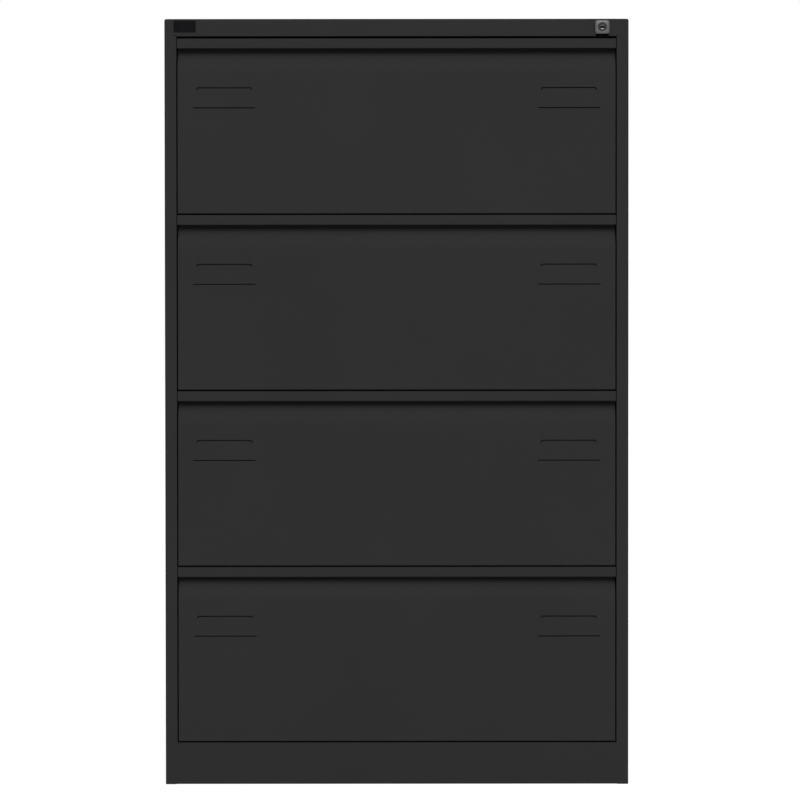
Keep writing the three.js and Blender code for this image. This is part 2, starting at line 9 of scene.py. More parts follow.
import bmesh
import bpy
from bpy.props import FloatProperty, FloatVectorProperty, PointerProperty
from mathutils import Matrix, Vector


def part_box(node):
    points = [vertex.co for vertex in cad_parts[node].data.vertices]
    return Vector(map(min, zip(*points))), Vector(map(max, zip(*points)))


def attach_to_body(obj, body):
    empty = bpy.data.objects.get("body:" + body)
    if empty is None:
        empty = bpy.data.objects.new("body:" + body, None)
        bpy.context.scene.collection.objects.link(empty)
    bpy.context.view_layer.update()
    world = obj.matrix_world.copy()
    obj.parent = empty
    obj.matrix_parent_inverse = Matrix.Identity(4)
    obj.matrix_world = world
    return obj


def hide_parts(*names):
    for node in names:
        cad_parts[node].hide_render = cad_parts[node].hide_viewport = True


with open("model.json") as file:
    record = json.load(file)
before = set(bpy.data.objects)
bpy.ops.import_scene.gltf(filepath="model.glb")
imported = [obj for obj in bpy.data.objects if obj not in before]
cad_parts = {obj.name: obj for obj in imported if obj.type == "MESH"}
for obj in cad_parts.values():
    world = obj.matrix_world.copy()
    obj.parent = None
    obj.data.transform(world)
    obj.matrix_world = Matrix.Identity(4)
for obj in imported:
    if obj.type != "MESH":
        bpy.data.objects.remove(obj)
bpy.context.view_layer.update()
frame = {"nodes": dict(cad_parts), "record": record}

bl_info = {
    "name": "Filing cabinet dressing",
    "version": (1, 0, 0),
    "blender": (4, 5, 0),
    "location": "View3D > Sidebar > Cabinet",
    "description": "Gives the packed filing cabinet its folded sheet, slides, lock and finishes",
    "category": "Object",
}

MM = 0.001
SIDES = {"left": -1, "right": 1}
DRAWERS = range(1, 5)
BODY_OF = {
    node: body
    for body, nodes in frame["record"]["behaviour"]["bodies"].items()
    for node in nodes
}

# Sheet and fits, as in the CAD source
CARCASS_SHEET = 1.0
DRAWER_SHEET = 0.9
UPRIGHT_SHEET = 1.2
SLIDE_STEEL = 1.2
BEND = 1.5
FIT = 0.1

# Carcass
STILE_RETURN = 22.0
PLINTH_FOOT = 15.0
REAR_FLANGE = 14.0
LOCK_HOLE = 9.0
SEAM_START = 378.7
SEAM_END = 386.5
SEAM_LIFT = 1.4
SEAM_HEIGHT = 0.8
NOTCH_INSET = 2.0
NOTCH_DEPTH = 8.0
NOTCH_LAP = 1.0
UPRIGHT_SLOT = (5.0, 14.0)

# Drawer front
FRONT_DEPTH = 25.0
FRONT_WALL = FRONT_DEPTH - DRAWER_SHEET - FIT  # the middle of the wall behind the lip
LIP_HEIGHT = 17.3
LIP_OVERHANG = 1.0
HEM_DEPTH = 2.4
HEM_HEIGHT = 8.0
HEM_BEND = 1.0
SCOOP_RUN = 43.5
SCOOP_RADIUS = 52.0
SCOOP_TOP_RADIUS = 12.0
END_PLATE_DROP = 3.0
LABEL_INSET = 80.3
LABEL_TOP_WIDTH = 94.0
LABEL_TOP_DROP = 85.1
LABEL_HOOK = 4.0
LABEL_HOOK_BEND = 2.0
LABEL_FOOT_WIDTH = 108.0
LABEL_FOOT_DROP = 119.5

# Slides: half sections as (inwards from the upright, above the middle, bend radius)
SLIDE_SECTIONS = {
    "outer": ((8.8, 19.8), (8.8, 22.2, 0.9), (0.6, 22.2, 1.6)),
    "mid": ((10.4, 17.7), (2.2, 17.7, 1.5)),
    "inner": ((3.6, 13.2), (11.8, 13.2, 1.5)),
}
BALL_ROWS = {"mid": (6.0, 19.95), "inner": (8.0, 15.45)}  # inwards, and above the middle
BALL_RADIUS = 1.55
BALL_SEGMENTS = (8, 6)
CAGE_WIDTH = 4.2
CAGE_THICKNESS = 0.7
CAGE_END = 6.0
WEB_HOLE = (16.0, 7.0)
WEB_HOLE_COUNT = 6

# Lock
LOCK_CORNER = 4.5
LOCK_BORE = 5.55
LOCK_BARREL = 8.25
DISH_FLARE = 3.0
DISH_DEPTH = 2.2
DISH_PROFILE = ((0.6, 0.0), (0.1, 0.12), (-0.4, 0.5), (-2.7, 2.0))  # out from its rim, and how deep
EDGE_TURNS = [math.radians(15 * k) for k in range(7)]  # a quarter turn round the plate's edge
CORE_CHAMFER = 0.45
KEYWAY = (8.3, 2.8, 9.0)  # width, height and depth
KEYWAY_EDGE = 0.2
PILLOW = 0.8  # how far the face stands out past its edge
LIP_HIGHLIGHT_DROP = 2.5  # from the core's middle down to the painted highlight on its lip
LIP_HIGHLIGHT_REACH = (2.6, 1.0, 1.0)  # from its middle, in x, y and z

# Metal of the lock: each shade is a share of the die-cast colour
CAST_METALLIC = 0.45
# Painted shade down in the lock's dish
DISH_PAINTED_SHADE = 0.35
CORE_SHADE = 0.5
# Painted highlight on the core's lip under the keyway
LIP_HIGHLIGHT_SHADE = 4.0
# Painted shade, near black, inside the keyway
KEYWAY_PAINTED_SHADE = 0.02

# Badge
BADGE_CORNER = 1.0
RIM_WIDTH = 0.5
RIM_EDGE = 0.15
PLATE_RECESS = 0.2

# Rivets
RIVET_PROUD = 0.8  # past the sheet at each end
RIVET_DOME = (0.55, 1.0)  # rings of the dome, as shares of the radius
RIVET_ROUNDING = 0.35
RIVET_POINTS = 10
BACK_RIVET_COUNT = 8
TRAY_RIVET_COUNT = 3
TRAY_RIVET_START = 0.45  # as a share of the height of the drawer's back
TRAY_RIVET_STEP = 0.22

# Finishes that several pieces share
PAINT = "black_powder_coat"
ZINC = "zinc_plate"
BALL_STEEL = "ball_steel"

# Stage
WHITE = (1.0, 1.0, 1.0, 1.0)
FLOOR_WHITE = 1.12
FLOOR_SHARE = 0.85  # of plain white, where the floor is seen
FLOOR_HALF = 60000.0

# Fineness of the meshes
CHORD_ERROR = 0.01  # how far a chord of a bend may lie off its arc
ARC_STEPS = 8  # round a corner
SMALL_ARC_STEPS = 4
SIDE_STEPS = 12  # along a straight side
FOLD_STEPS = 5
EDGE_STEPS = 2
SHARP_ANGLE = math.radians(50)  # edges past it are rounded
CREASE_ANGLE = math.radians(40)  # edges past it are shaded as creases
FLAT_ANGLE = math.radians(1)  # faces within it are one face
MERGE_DISTANCE = 0.001
SAME_PLANE = 1e-6  # in metres


def length_property(name, description, default):
    return FloatProperty(name=name, description=description, default=default, unit="LENGTH")


def angle_property(name, description, degrees):
    default = math.radians(degrees)
    return FloatProperty(name=name, description=description, default=default, subtype="ANGLE")


def strength_property(name, description, default):
    return FloatProperty(name=name, description=description, default=default, min=0.0)


def colour_property(name, description, default):
    return FloatVectorProperty(
        name=name, description=description, default=default, subtype="COLOR", size=3, min=0.0, max=1.0
    )


class CabinetSizes(bpy.types.PropertyGroup):
    """Sizes of the finish that a user may change."""

    fold_radius: length_property("Fold radius", "Outer radius of the carcass folds", 0.0034)
    opening_radius: length_property("Opening radius", "Radius of the folds round the drawers", 0.0013)
    edge_softness: length_property("Edge softness", "Rounding on the cut edges of sheet", 0.0003)
    slit_height: length_property("Slit height", "Height of the label slits", 0.0017)
    slot_pitch: length_property("Slot pitch", "Spacing of the slots in the uprights", 0.032)
    ball_pitch: length_property("Ball pitch", "Spacing of the balls in the slides", 0.0068)
    rivet_radius: length_property("Rivet radius", "Radius of the rivet heads", 0.0026)
    lock_edge: length_property("Lock edge", "Rounding round the face of the lock", 0.0009)


class CabinetFinishes(bpy.types.PropertyGroup):
    """Colours of the finishes, in linear light."""

    paint: colour_property("Paint", "Black powder coat on the sheet", (0.025, 0.025, 0.0251))
    zinc: colour_property("Zinc", "Bright zinc plate on the slides", (0.52, 0.53, 0.54))
    die_cast: colour_property("Die cast", "Satin metal of the lock", (0.1, 0.1, 0.098))
    badge: colour_property("Badge", "Gloss face of the badge", (0.0055, 0.0048, 0.006))
    rim: colour_property("Rim", "Thin metal rim of the badge", (0.02, 0.019, 0.021))
    ball: colour_property("Ball", "Hardened steel of the balls", (0.62, 0.61, 0.6))
    paint_roughness: strength_property("Paint roughness", "Roughness of the powder coat", 0.55)


class StudioSettings(bpy.types.PropertyGroup):
    """Camera and light of the studio."""

    distance: length_property("Distance", "From the drawer fronts to the camera", 5.5)
    height: length_property("Height", "Camera above the floor", 0.764)
    aim_height: length_property("Aim height", "Where the view meets the fronts", 0.6643)
    aside: length_property("Aside", "Camera to the right of the middle", 0.0056)
    roll: angle_property("Roll", "Turn of the camera about its view", -0.044)
    lens: FloatProperty(name="Lens", description="Focal length in millimetres", default=143.45)
    key_strength: strength_property("Key strength", "Strength of the light from above", 1.75)
    key_elevation: angle_property("Key elevation", "Height of the light from above", 36.0)
    key_spread: angle_property("Key spread", "Angle across the light from above", 40.0)
    fill_strength: strength_property("Fill strength", "Strength of the light in front", 0.85)
    fill_spread: angle_property("Fill spread", "Angle across the lights in front and behind", 10.0)
    rear_strength: strength_property("Rear strength", "Strength of each of the two lights behind", 1.1)
    rear_turn: angle_property("Rear turn", "Angle from the front to each light behind", 150.0)
    ambient: strength_property("Ambient", "Strength of the light from all round", 0.3)


# Meshes


def box_mm(node):
    low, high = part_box(node)
    return low / MM, high / MM


FRONT = box_mm("plinth_panel")[0].y


def bent_line(corners):
    """Points along a bent line, each with its left normal. A corner is (a, b) or (a, b, radius)."""
    at = [Vector(corner[:2]) for corner in corners]
    heading = [(end - start).normalized() for start, end in zip(at, at[1:])]
    left = [Vector((-h.y, h.x)) for h in heading]
    points = [(at[0], left[0])]
    for i in range(1, len(at) - 1):
        radius = corners[i][2] if len(corners[i]) > 2 else BEND
        turn = math.atan2(heading[i - 1].cross(heading[i]), heading[i - 1].dot(heading[i]))
        start = at[i] - heading[i - 1] * radius * math.tan(abs(turn) / 2)
        centre = start + left[i - 1] * math.copysign(radius, turn)
        steps = math.ceil(abs(turn) / (2 * math.acos(1 - CHORD_ERROR / radius)))
        for k in range(steps + 1):
            angle = turn * k / steps
            cos, sin = math.cos(angle), math.sin(angle)
            normal = left[i - 1] * cos - heading[i - 1] * sin
            points.append((centre - normal * math.copysign(radius, turn), normal))
    points.append((at[-1], left[-1]))
    return points


def loft(bm, rings, closed=False):
    """Quads between rings of points. An open loft is capped at its ends, and a closed one joins them."""
    made = [[bm.verts.new(point) for point in ring] for ring in rings]
    following = made[1:] + made[:1] if closed else made[1:]
    for ring, after in zip(made, following):
        for i in range(len(ring)):
            j = (i + 1) % len(ring)
            bm.faces.new((ring[i], ring[j], after[j], after[i]))
    if not closed:
        bm.faces.new(made[0])
        bm.faces.new(made[-1])


def prism(bm, outline, place, start, end):
    """A closed outline drawn out from start to end. place turns (a, b, along) into a point."""
    loft(bm, [[place(a, b, along) for a, b in outline] for along in (start, end)])


def folded(bm, corners, thickness, place, start, end):
    """A bent sheet of even thickness, its section along these corners, drawn out from start to end."""
    line = bent_line(corners)
    halves = [[point + normal * sign * thickness / 2 for point, normal in line] for sign in (1, -1)]
    near, far = [
        [[bm.verts.new(place(*point, along)) for point in half] for half in halves]
        for along in (start, end)
    ]
    for i in range(len(line) - 1):
        for end_pair in (near, far):
            bm.faces.new((end_pair[0][i], end_pair[0][i + 1], end_pair[1][i + 1], end_pair[1][i]))
        for side in (0, 1):
            bm.faces.new((near[side][i], near[side][i + 1], far[side][i + 1], far[side][i]))
    for i in (0, len(line) - 1):
        bm.faces.new((near[0][i], near[1][i], far[1][i], far[0][i]))


def corner_arcs(width, height, corner, steps=ARC_STEPS):
    """The points of the four corners of a rounded rectangle."""
    arcs = []
    for quarter, (sx, sy) in enumerate(((1, 1), (-1, 1), (-1, -1), (1, -1))):
        centre = Vector((sx * (width / 2 - corner), sy * (height / 2 - corner)))
        turns = [math.pi / 2 * (quarter + k / steps) for k in range(steps + 1)]
        arcs.append([centre + corner * Vector((math.cos(turn), math.sin(turn))) for turn in turns])
    return arcs


def oval(width, height, steps=ARC_STEPS):
    """A slot's outline: straight long sides and round ends."""
    points = sum(corner_arcs(width, height, min(width, height) / 2, steps), [])
    return [p for p, q in zip(points, points[1:] + points[:1]) if math.dist(p, q) > CHORD_ERROR]


def facing(points, centre, y):
    """Points of an outline seen from the front, at this depth."""
    return [(centre.x + p.x, y, centre.z + p.y) for p in points]


def rounded_ring(width, height, corner, centre, y):
    """A rounded rectangle: the arc of each corner, then steps along the side after it."""
    arcs = corner_arcs(width, height, corner)
    points = []
    for arc, after in zip(arcs, arcs[1:] + arcs[:1]):
        points += arc
        points += [arc[-1].lerp(after[0], k / SIDE_STEPS) for k in range(1, SIDE_STEPS)]
    return facing(points, centre, y)


def round_ring(radius, centre, y):
    """A circle with as many points as a rounded ring, lined up with it at the first corner's middle."""
    count = 4 * (ARC_STEPS + SIDE_STEPS)
    turns = [math.pi / 4 + 2 * math.pi * (k - ARC_STEPS / 2) / count for k in range(count)]
    return facing([radius * Vector((math.cos(turn), math.sin(turn))) for turn in turns], centre, y)


def round_edges(bm, edges, radius, steps):
    bmesh.ops.bevel(bm, geom=edges, offset=radius, segments=steps, profile=0.5, affect="EDGES")


def mesh_object(name, bm):
    """Turns a millimetre mesh into a linked object in metres."""
    bmesh.ops.scale(bm, vec=(MM, MM, MM), verts=bm.verts)
    bmesh.ops.recalc_face_normals(bm, faces=bm.faces)
    mesh = bpy.data.meshes.new(name)
    bm.to_mesh(mesh)
    bm.free()
    piece = bpy.data.objects.new(name, mesh)
    bpy.context.scene.collection.objects.link(piece)
    return piece


def lofted(name, rings, closed=False):
    bm = bmesh.new()
    loft(bm, rings, closed)
    return mesh_object(name, bm)


def soften(piece, width=None):
    """Smooth folds, crisp flats and, with a width, softly rounded cut edges."""
    piece.data.shade_smooth()
    if width:
        bevel = piece.modifiers.new("soft_edges", "BEVEL")
        bevel.limit_method = "ANGLE"
        bevel.angle_limit = SHARP_ANGLE
        bevel.width = width
        bevel.segments = EDGE_STEPS
    else:
        piece.data.set_sharp_from_angle(angle=CREASE_ANGLE)
    normals = piece.modifiers.new("even_flats", "WEIGHTED_NORMAL")
    normals.keep_sharp = True


def attach(piece, coat, node):
    """Gives a piece its finish, and the body of a CAD node."""
    piece.data.materials.clear()
    piece.data.materials.append(finish(coat))
    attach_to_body(piece, BODY_OF[node])


def stand_for(piece, coat, *nodes, softness=None):
    """Softens a piece, attaches it as the first of these CAD nodes is, and replaces them all."""
    soften(piece, softness)
    attach(piece, coat, nodes[0])
    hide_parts(*nodes)


def node_copy(node):
    """A millimetre copy of a CAD node with its loose triangles merged into whole faces."""
    bm = bmesh.new()
    bm.from_mesh(frame["nodes"][node].data)
    bmesh.ops.scale(bm, vec=(1 / MM, 1 / MM, 1 / MM), verts=bm.verts)
    bmesh.ops.remove_doubles(bm, verts=bm.verts, dist=MERGE_DISTANCE)
    bmesh.ops.dissolve_limit(bm, angle_limit=FLAT_ANGLE, verts=bm.verts, edges=bm.edges)
    return bm


def dressed_copy(node, coat, softness):
    """The CAD node's own shape with softly rounded edges and a finish."""
    piece = mesh_object(f"{node}_sheet", node_copy(node))
    stand_for(piece, coat, node, softness=softness)


# Node trees


class Link:
    """An output of a node. Values add, subtract and multiply, and make() adds any other node."""

    def __init__(self, tree, socket=None):
        self.tree = tree
        self.socket = socket

    def make(self, kind, inputs=None, output=0, **settings):
        """Adds a node: its settings first, then the values or links of its sockets."""
        node = self.tree.nodes.new(kind)
        for name, value in settings.items():
            setattr(node, name, value)
        for key, value in (inputs or {}).items():
            if isinstance(value, Link):
                self.tree.links.new(value.socket, node.inputs[key])
            else:
                node.inputs[key].default_value = value
        outputs = node.outputs
        return Link(self.tree, outputs[output] if len(outputs) else None)

    def other(self, output):
        """Another output of the same node."""
        return Link(self.tree, self.socket.node.outputs[output])

    def maths(self, operation, first, second):
        return self.make("ShaderNodeMath", {0: first, 1: second}, operation=operation)

    def mixed(self, first, second):
        """A colour between two others, with this value as the share of the second."""
        inputs = {0: self, 6: first, 7: second}
        return self.make("ShaderNodeMix", inputs, output=2, data_type="RGBA")

    def __add__(self, other):
        return self.maths("ADD", self, other)

    def __sub__(self, other):
        return self.maths("SUBTRACT", self, other)

    def __rsub__(self, other):
        return self.maths("SUBTRACT", other, self)

    def __mul__(self, other):
        return self.maths("MULTIPLY", self, other)

    __radd__ = __add__
    __rmul__ = __mul__


def geometry_tree(name, inputs):
    """An empty geometry tree with these named inputs, and the link to its group input."""
    tree = bpy.data.node_groups.new(name, "GeometryNodeTree")
    for label, kind in inputs.items():
        tree.interface.new_socket(name=label, in_out="INPUT", socket_type=f"NodeSocket{kind}")
    tree.interface.new_socket(name="Geometry", in_out="OUTPUT", socket_type="NodeSocketGeometry")
    return tree, Link(tree).make("NodeGroupInput")


def finish_tree(given, geometry):
    """Ends a tree in realised geometry with its finish."""
    coat = given.other("Finish")
    realised = given.make("GeometryNodeRealizeInstances", {0: geometry})
    finished = given.make("GeometryNodeSetMaterial", {0: realised, "Material": coat})
    given.make("NodeGroupOutput", {0: finished})


def line_of_points(given, start, step, count):
    inputs = {"Count": given.other(count), "Start Location": start, "Offset": given.other(step)}
    return given.make("GeometryNodeMeshLine", inputs, mode="OFFSET")


def shape_on(given, points):
    """The tree's shape, placed on each of these points."""
    asked = {"Object": given.other("Shape")}
    shape = given.make("GeometryNodeObjectInfo", asked, "Geometry", transform_space="ORIGINAL")
    return given.make("GeometryNodeInstanceOnPoints", {"Points": points, "Instance": shape})


def perforation_tree():
    """Cuts a row of equal holes through a piece."""
    inputs = {"Geometry": "Geometry", "Shape": "Object", "Finish": "Material"}
    row = {"Start": "Vector", "Step": "Vector", "Count": "Int"}
    tree, given = geometry_tree("perforate", {**inputs, **row})
    holes = shape_on(given, line_of_points(given, given.other("Start"), "Step", "Count"))
    cutters = given.make("GeometryNodeRealizeInstances", {0: holes})
    solids = {0: given.other("Geometry"), 1: cutters}
    cut = given.make("GeometryNodeMeshBoolean", solids, operation="DIFFERENCE", solver="EXACT")
    finish_tree(given, cut)
    return tree


def array_tree():
    """Repeats a shape along, across and up."""
    inputs = {"Shape": "Object", "Finish": "Material", "Start": "Vector"}
    for way in ("Along", "Across", "Up"):
        inputs[f"{way} step"] = "Vector"
        inputs[f"{way} count"] = "Int"
    tree, given = geometry_tree("array", inputs)
    points = line_of_points(given, given.other("Start"), "Along step", "Along count")
    for way in ("Across", "Up"):
        line = line_of_points(given, (0.0, 0.0, 0.0), f"{way} step", f"{way} count")
        rows = given.make("GeometryNodeInstanceOnPoints", {"Points": points, "Instance": line})
        points = given.make("GeometryNodeRealizeInstances", {0: rows})
    finish_tree(given, shape_on(given, points))
    return tree


def grow(piece, tree, values):
    """Runs a geometry tree on a piece and keeps the result as the piece's plain mesh."""
    modifier = piece.modifiers.new(tree.name, "NODES")
    modifier.node_group = tree
    for item in tree.interface.items_tree:
        if item.in_out == "INPUT" and item.name in values:
            value = values[item.name]
            modifier[item.identifier] = [x * MM for x in value] if isinstance(value, tuple) else value
    evaluated = piece.evaluated_get(bpy.context.evaluated_depsgraph_get())
    mesh = bpy.data.meshes.new_from_object(evaluated)
    piece.modifiers.clear()
    piece.data = mesh
    mesh.name = piece.name


def perforate(piece, cutter, coat, start=(0, 0, 0), step=(0, 0, 0), count=1):
    """Cuts a row of holes with the shape of this millimetre mesh."""
    shape = mesh_object("cutter", cutter)
    tree = bpy.data.node_groups.get("perforate") or perforation_tree()
    values = {"Shape": shape, "Start": start, "Step": step, "Count": count, "Finish": finish(coat)}
    grow(piece, tree, values)
    bpy.data.objects.remove(shape)


def slot_row(piece, coat, size, sheet, start, step, count):
    """Cuts a row of slots through a sheet that faces sideways."""
    cutter = bmesh.new()
    prism(cutter, oval(*size), lambda y, z, x: (x, y, z), -sheet, sheet)
    perforate(piece, cutter, coat, start, step, count)


def repeat(name, shape, coat, start, along, up=((0, 0, 0), 1)):
    """Rows of one shape from a start on the left, and as many on the right. A way is (step, count)."""
    holder = mesh_object(name, bmesh.new())
    across = ((-2 * start[0], 0, 0), len(SIDES))
    values = {"Shape": shape, "Start": start, "Finish": finish(coat)}
    for way, (step, count) in {"Along": along, "Across": across, "Up": up}.items():
        values[f"{way} step"] = step
        values[f"{way} count"] = count
    grow(holder, bpy.data.node_groups.get("array") or array_tree(), values)
    holder.data.shade_smooth()
    return holder


# Finishes


def empty_tree(holder):
    """Clears the nodes of a material or a world, and gives a link that adds others."""
    holder.use_nodes = True
    holder.node_tree.nodes.clear()
    return Link(holder.node_tree)


def noise(place, scale, detail=2.0, distortion=0.0):
    inputs = {"Vector": place, "Scale": scale, "Detail": detail, "Distortion": distortion}
    return place.make("ShaderNodeTexNoise", inputs)


def stretched(place, scale):
    return place.make("ShaderNodeMapping", {"Vector": place, "Scale": scale})


def bump(height, strength, distance):
    """A bumped normal. The distance is how far the bumps rise, in metres."""
    inputs = {"Strength": strength, "Distance": distance, "Height": height}
    return height.make("ShaderNodeBump", inputs)


def shaded(colour, share):
    return (*(channel * share for channel in colour), 1.0)


def toned(value, colour, darkest, lightest):
    """Shades of a colour, from the darkest where the value is 0 to the lightest where it is 1."""
    return value.mixed(shaded(colour, darkest), shaded(colour, lightest))


def finish_surface(place, colour, roughness, metallic=0.0, specular=0.5, normal=None):
    """Ends a material in one surface with these values or links."""
    sockets = {"Base Color": colour, "Roughness": roughness, "Metallic": metallic}
    sockets["Specular IOR Level"] = specular
    if normal:
        sockets["Normal"] = normal
    surface = place.make("ShaderNodeBsdfPrincipled", sockets)
    place.make("ShaderNodeOutputMaterial", {"Surface": surface})


def powder_coat(place, finishes):
    """Black powder coat: a fine pebbled skin with faint cloudiness."""
    pebble = noise(place, scale=750.0, detail=3.0)
    cloud = noise(place, scale=5.0, detail=4.0)
    speck = noise(place, scale=2400.0)
    finish_surface(
        place,
        toned(0.6 * cloud + 0.4 * speck, finishes.paint, darkest=0.88, lightest=1.12),
        roughness=finishes.paint_roughness + 0.1 * (pebble - 0.5),
        specular=0.03,
        normal=bump(pebble + 0.4 * speck, strength=0.25, distance=0.0003),
    )


def zinc_plate(place, finishes):
    """Bright zinc plate: cloudy, with rolling marks along the sheet."""
    streak = noise(stretched(place, (40.0, 1.0, 40.0)), scale=9.0, detail=4.0)
    cloud = noise(place, scale=26.0, detail=3.0, distortion=0.6)
    finish_surface(
        place,
        toned(cloud, finishes.zinc, darkest=0.84, lightest=1.12),
        roughness=0.24 + 0.16 * streak + 0.1 * cloud,
        metallic=1.0,
        normal=bump(streak, strength=0.08, distance=0.0002),
    )


def recess(place, start, end):
    """How deep a place lies behind the lock's face: 0 up to start and 1 from end on, in millimetres."""
    face = box_mm("lock_housing")[0].y
    depth = place.make("ShaderNodeSeparateXYZ", {0: place}, output="Y")
    ends = {"From Min": (face + start) * MM, "From Max": (face + end) * MM}
    return place.make("ShaderNodeMapRange", {"Value": depth, **ends})


def cast_tone(place, colour):
    """The cloudy tone of cast metal."""
    return toned(noise(place, scale=160.0, detail=3.0), colour, darkest=0.85, lightest=1.15)


def cast_surface(place, colour, metallic):
    """A satin cast surface with a fine tumbled grain."""
    grain = noise(place, scale=2600.0, detail=3.0)
    normal = bump(grain, strength=0.15, distance=0.0001)
    finish_surface(place, colour, roughness=0.36 + 0.12 * grain, metallic=metallic, normal=normal)


def die_cast_metal(place, finishes):
    """Satin die-cast metal, with painted shade darkening it down in the dish."""
    depth = recess(place, start=0.1, end=DISH_DEPTH / 2)
    tone = cast_tone(place, finishes.die_cast)
    cast_surface(place, depth.mixed(tone, shaded(finishes.die_cast, DISH_PAINTED_SHADE)), CAST_METALLIC)


def painted_lip_highlight(place):
    """1 where a highlight is painted on the lip under the keyway, and 0 away from it."""
    low, high = box_mm("lock_core")
    lip = Vector(((low.x + high.x) / 2, low.y, (low.z + high.z) / 2 - LIP_HIGHLIGHT_DROP))
    shares = Vector([1 / (reach * MM) for reach in LIP_HIGHLIGHT_REACH])
    offset = place.make("ShaderNodeVectorMath", {0: place, 1: lip * MM}, operation="SUBTRACT")
    scaled = place.make("ShaderNodeVectorMath", {0: offset, 1: shares}, operation="MULTIPLY")
    away = place.make("ShaderNodeVectorMath", {0: scaled}, "Value", operation="LENGTH")
    return place.make("ShaderNodeMapRange", {"Value": away, "From Min": 1.0, "From Max": 0.5})


def core_metal(place, finishes):
    """The core's darker metal, with a painted highlight on the lip under the keyway and near-black
    painted shade inside the keyway.
    """
    rim = DISH_DEPTH + CORE_CHAMFER
    depth = recess(place, start=rim, end=rim + 2 * CORE_CHAMFER)
    tone = cast_tone(place, shaded(finishes.die_cast, CORE_SHADE)[:3])
    # Painted highlight on the lip under the keyway
    face = painted_lip_highlight(place).mixed(tone, shaded(finishes.die_cast, LIP_HIGHLIGHT_SHADE))
    # Painted shade, near black, down inside the keyway
    colour = depth.mixed(face, shaded(finishes.die_cast, KEYWAY_PAINTED_SHADE))
    cast_surface(place, colour, CAST_METALLIC + (1.0 - CAST_METALLIC) * depth)


def gloss_face(place, finishes):
    """Gloss black face with fine wiping scratches."""
    scratch = noise(stretched(place, (1.0, 1.0, 14.0)), scale=700.0, detail=4.0)
    colour = toned(noise(place, scale=120.0), finishes.badge, darkest=0.8, lightest=1.2)
    finish_surface(place, colour, roughness=0.2 + 0.12 * scratch, specular=0.03)


def bright_metal(place, colour, roughness):
    """Plain bright metal with a fine drawn grain."""
    grain = noise(place, scale=1800.0)
    tone = toned(grain, colour, darkest=0.88, lightest=1.1)
    finish_surface(place, tone, roughness=roughness + 0.1 * grain, metallic=1.0)


def seen_rays(nodes):
    """1 for the rays that show the background: to the camera, in gloss and through glass."""
    path = nodes.make("ShaderNodeLightPath", output="Is Camera Ray")
    gloss, glass = path.other("Is Glossy Ray"), path.other("Is Transmission Ray")
    return nodes.maths("MAXIMUM", path, nodes.maths("MAXIMUM", gloss, glass))


def floor_finish(place):
    """A white floor that is lit as any other, and keeps a faint shadow where it is seen."""
    tone = toned(noise(place, scale=0.7), WHITE[:3], darkest=0.93, lightest=0.96)
    lit = place.make("ShaderNodeBsdfDiffuse", {"Color": tone})
    white = place.make("ShaderNodeEmission", {"Color": WHITE, "Strength": FLOOR_WHITE})
    share = FLOOR_SHARE * seen_rays(place)
    surface = place.make("ShaderNodeMixShader", {0: share, 1: lit, 2: white})
    place.make("ShaderNodeOutputMaterial", {"Surface": surface})


FINISHES = {
    PAINT: powder_coat,
    ZINC: zinc_plate,
    "die_cast_metal": die_cast_metal,
    "core_metal": core_metal,
    "gloss_face": gloss_face,
    "badge_rim_metal": lambda place, finishes: bright_metal(place, finishes.rim, roughness=0.3),
    BALL_STEEL: lambda place, finishes: bright_metal(place, finishes.ball, roughness=0.1),
    "studio_floor": lambda place, finishes: floor_finish(place),
}


def finish(name):
    """The named finish, made when it is first asked for."""
    material = bpy.data.materials.get(name)
    if not material:
        material = bpy.data.materials.new(name)
        place = empty_tree(material).make("ShaderNodeTexCoord", output="Object")
        FINISHES[name](place, bpy.context.scene.cabinet_finishes)
    return material


# Carcass


class SheetPatches:
    """Flat patches of one folded sheet, with the corners that they share."""

    def __init__(self):
        self.bm = bmesh.new()
        self.corners = {}
        self.kinds = {}

    def corner(self, point):
        key = tuple(round(value, 3) for value in point)
        if key not in self.corners:
            self.corners[key] = self.bm.verts.new(point)
        return self.corners[key]

    def add(self, kind, us, vs, place, keep=lambda u, v: True):
        """A grid of quads. place turns (u, v) into a point, and keep leaves cells out."""
        for u0, u1 in zip(us, us[1:]):
            for v0, v1 in zip(vs, vs[1:]):
                if keep((u0 + u1) / 2, (v0 + v1) / 2):
                    cell = ((u0, v0), (u1, v0), (u1, v1), (u0, v1))
                    face = self.bm.faces.new([self.corner(place(u, v)) for u, v in cell])
                    self.kinds[face] = kind

    def folds(self):
        """Edges between patches of different kinds: those round the opening, and the others."""
        opening, others = [], []
        for edge in self.bm.edges:
            kinds = {self.kinds[face] for face in edge.link_faces}
            if len(kinds) == 2:
                (opening if "return" in kinds else others).append(edge)
        return opening, others


def frame_lines():
    """Where the edges of the front frame lie, across and up, and how far back the sides reach."""
    half = box_mm("right_side_panel")[1].x
    plinth = box_mm("plinth_panel")[1]
    top_low, top_high = box_mm("top_panel")
    lock_low, lock_high = box_mm("lock_housing")
    lock = (lock_low + lock_high) / 2
    jamb = plinth.x + FIT
    across = [-half, -jamb, lock.x - LOCK_HOLE, lock.x + LOCK_HOLE, jamb, half]
    up = [0.0, plinth.z, top_low.z, lock.z - LOCK_HOLE, lock.z + LOCK_HOLE, top_high.z]
    return across, up, top_high.y


